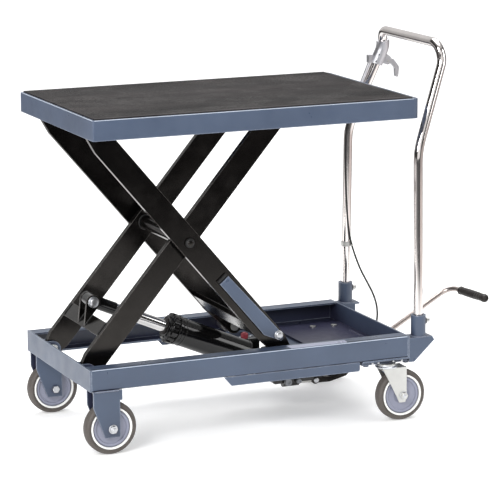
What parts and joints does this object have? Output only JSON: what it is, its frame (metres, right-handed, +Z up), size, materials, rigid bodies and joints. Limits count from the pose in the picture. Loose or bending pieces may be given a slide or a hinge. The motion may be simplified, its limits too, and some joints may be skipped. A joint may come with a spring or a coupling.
{
  "type": "scissor lift table",
  "caption": "Mobile scissor lift table: platform on crossed arms over a rolling base, raised by a foot-pumped hydraulic cylinder and moved by a push handle.",
  "frame": {"origin": "centre of the footprint of the whole table, on the floor", "axes": "+X along the table towards the push handle and pedal, +Y across it towards the release lever's side, +Z up"},
  "size_m": [1.0756, 0.5, 0.908],
  "materials": {
    "blue_paint": "satin",
    "black_paint": "gloss",
    "zinc": "satin",
    "chrome": "polished",
    "cast_silver": "satin",
    "mat_rubber": "matte",
    "grip_rubber": "satin",
    "cable_black": "satin",
    "tyre_grey": "matte",
    "hub_grey": "satin",
    "red_plastic": "satin"
  },
  "bodies": {
    "base": {"base_rail_near": "blue_paint", "base_rail_far": "blue_paint", "base_end_panel": "blue_paint", "base_rear_panel": "blue_paint", "cargo_tray": "blue_paint", "pump_skirts": "blue_paint", "frame_bolts": "zinc", "handle_brackets": "blue_paint", "handle_tube": "chrome", "release_housing": "cast_silver", "release_cable": "cable_black", "cable_clip": "zinc", "base_hinge_pins": "zinc", "fixed_forks": "blue_paint", "fixed_axles": "zinc", "caster_mounts": "blue_paint", "pump_body": "black_paint", "pump_brackets": "black_paint", "pump_reservoir": "black_paint", "filler_plug": "red_plastic"},
    "inner_arms": {"inner_arm_near": "black_paint", "inner_arm_far": "black_paint", "inner_cross_members": "black_paint", "clevis_bracket": "black_paint", "clevis_pin": "zinc", "upper_roller_pins": "zinc"},
    "outer_arms": {"outer_arm_near": "black_paint", "outer_arm_far": "black_paint", "outer_cross_bar": "black_paint", "centre_bolts": "black_paint", "strut_bolt": "zinc", "lower_roller_pins": "zinc"},
    "platform": {"platform_pan": "blue_paint", "rubber_mat": "mat_rubber", "platform_hinge_brackets": "blue_paint", "platform_hinge_pins": "zinc", "roller_guides": "blue_paint"},
    "safety_strut": {"safety_strut": "blue_paint"},
    "upper_rollers": {"upper_rollers": "zinc"},
    "lower_rollers": {"lower_rollers": "zinc"},
    "rod": {"rod_end": "black_paint", "cylinder_rod": "chrome"},
    "barrel": {"cylinder_barrel": "black_paint", "gland_nut": "black_paint"},
    "fork_near": {"swivel_fork_near": "zinc"},
    "fork_far": {"swivel_fork_far": "zinc"},
    "wheel_fixed_near": {"tyre_fixed_near": "tyre_grey", "hub_fixed_near": "hub_grey"},
    "wheel_fixed_far": {"tyre_fixed_far": "tyre_grey", "hub_fixed_far": "hub_grey"},
    "wheel_swivel_near": {"tyre_swivel_near": "tyre_grey", "hub_swivel_near": "hub_grey"},
    "wheel_swivel_far": {"tyre_swivel_far": "tyre_grey", "hub_swivel_far": "hub_grey"},
    "pedal": {"pedal_arm": "black_paint", "pedal_rod": "chrome", "pedal_grip": "grip_rubber"},
    "plunger": {"pump_plunger": "zinc"},
    "release_lever": {"release_lever": "cast_silver"},
    "valve_lever": {"valve_lever": "black_paint"}
  },
  "joints": [
    {"name": "lift", "type": "hinge", "parent": "base", "child": "inner_arms", "pos_m": [-0.503, 0, 0.1801], "axis": [0, -1, 0], "range_deg": [-43.95, 12.61]},
    {"name": "arm_cross", "type": "hinge", "parent": "inner_arms", "child": "outer_arms", "pos_m": [-0.258, 0, 0.46915], "axis": [0, -1, 0], "range_deg": [-25.25, 87.95]},
    {"name": "platform_tilt", "type": "hinge", "parent": "outer_arms", "child": "platform", "pos_m": [-0.503, 0, 0.7582], "axis": [0, -1, 0], "range_deg": [-43.96, 12.61]},
    {"name": "rod_swing", "type": "hinge", "parent": "inner_arms", "child": "rod", "pos_m": [-0.44622, 0, 0.31746], "axis": [0, -1, 0], "range_deg": [-13.74, 47.91]},
    {"name": "cylinder_stroke", "type": "slide", "parent": "rod", "child": "barrel", "axis": [0.9182, 0, -0.3961], "range_m": [-0.1036, 0.0298]},
    {"name": "upper_roller_spin", "type": "hinge", "parent": "inner_arms", "child": "upper_rollers", "pos_m": [-0.013, 0, 0.7582], "axis": [0, 1, 0], "continuous": true},
    {"name": "lower_roller_spin", "type": "hinge", "parent": "outer_arms", "child": "lower_rollers", "pos_m": [-0.013, 0, 0.1801], "axis": [0, 1, 0], "continuous": true},
    {"name": "strut_swing", "type": "hinge", "parent": "outer_arms", "child": "safety_strut", "pos_m": [-0.03533, -0.167, 0.22934], "axis": [0, 1, 0], "range_deg": [0, 125]},
    {"name": "swivel_near", "type": "hinge", "parent": "base", "child": "fork_near", "pos_m": [0.2305, -0.208, 0.136], "axis": [0, 0, 1], "continuous": true},
    {"name": "swivel_far", "type": "hinge", "parent": "base", "child": "fork_far", "pos_m": [0.2305, 0.208, 0.136], "axis": [0, 0, 1], "continuous": true},
    {"name": "roll_fixed_near", "type": "hinge", "parent": "base", "child": "wheel_fixed_near", "pos_m": [-0.4753, -0.199, 0.0625], "axis": [0, 1, 0], "continuous": true},
    {"name": "roll_fixed_far", "type": "hinge", "parent": "base", "child": "wheel_fixed_far", "pos_m": [-0.4753, 0.199, 0.0625], "axis": [0, 1, 0], "continuous": true},
    {"name": "roll_swivel_near", "type": "hinge", "parent": "fork_near", "child": "wheel_swivel_near", "pos_m": [0.2665, -0.208, 0.0625], "axis": [0, 1, 0], "continuous": true},
    {"name": "roll_swivel_far", "type": "hinge", "parent": "fork_far", "child": "wheel_swivel_far", "pos_m": [0.2665, 0.208, 0.0625], "axis": [0, 1, 0], "continuous": true},
    {"name": "pedal_press", "type": "hinge", "parent": "base", "child": "pedal", "pos_m": [0.142, 0, 0.086], "axis": [0, 1, 0], "range_deg": [0, 25], "stiffness_Nm_per_rad": 8, "springref_deg": -20.05},
    {"name": "plunger_stroke", "type": "slide", "parent": "base", "child": "plunger", "axis": [-1, 0, 0], "range_m": [0, 0.0097]},
    {"name": "release_squeeze", "type": "hinge", "parent": "base", "child": "release_lever", "pos_m": [0.4108, 0.1619, 0.81703], "axis": [0, 1, 0], "range_deg": [0, 25], "stiffness_Nm_per_rad": 0.3, "springref_deg": -22.92},
    {"name": "valve_turn", "type": "hinge", "parent": "base", "child": "valve_lever", "pos_m": [0.099, 0.042, 0.12], "axis": [0, 1, 0], "range_deg": [0, 25.1]}
  ],
  "couplings": [
    {"joint": "arm_cross", "follows": "lift", "ratio": -2},
    {"joint": "platform_tilt", "follows": "lift", "ratio": 1},
    {"joint": "rod_swing", "follows": "lift", "ratio": -1.09},
    {"joint": "cylinder_stroke", "follows": "lift", "m_per_rad": 0.135},
    {"joint": "plunger_stroke", "follows": "pedal_press", "m_per_rad": 0.0222},
    {"joint": "valve_turn", "follows": "release_squeeze", "ratio": 1}
  ]
}
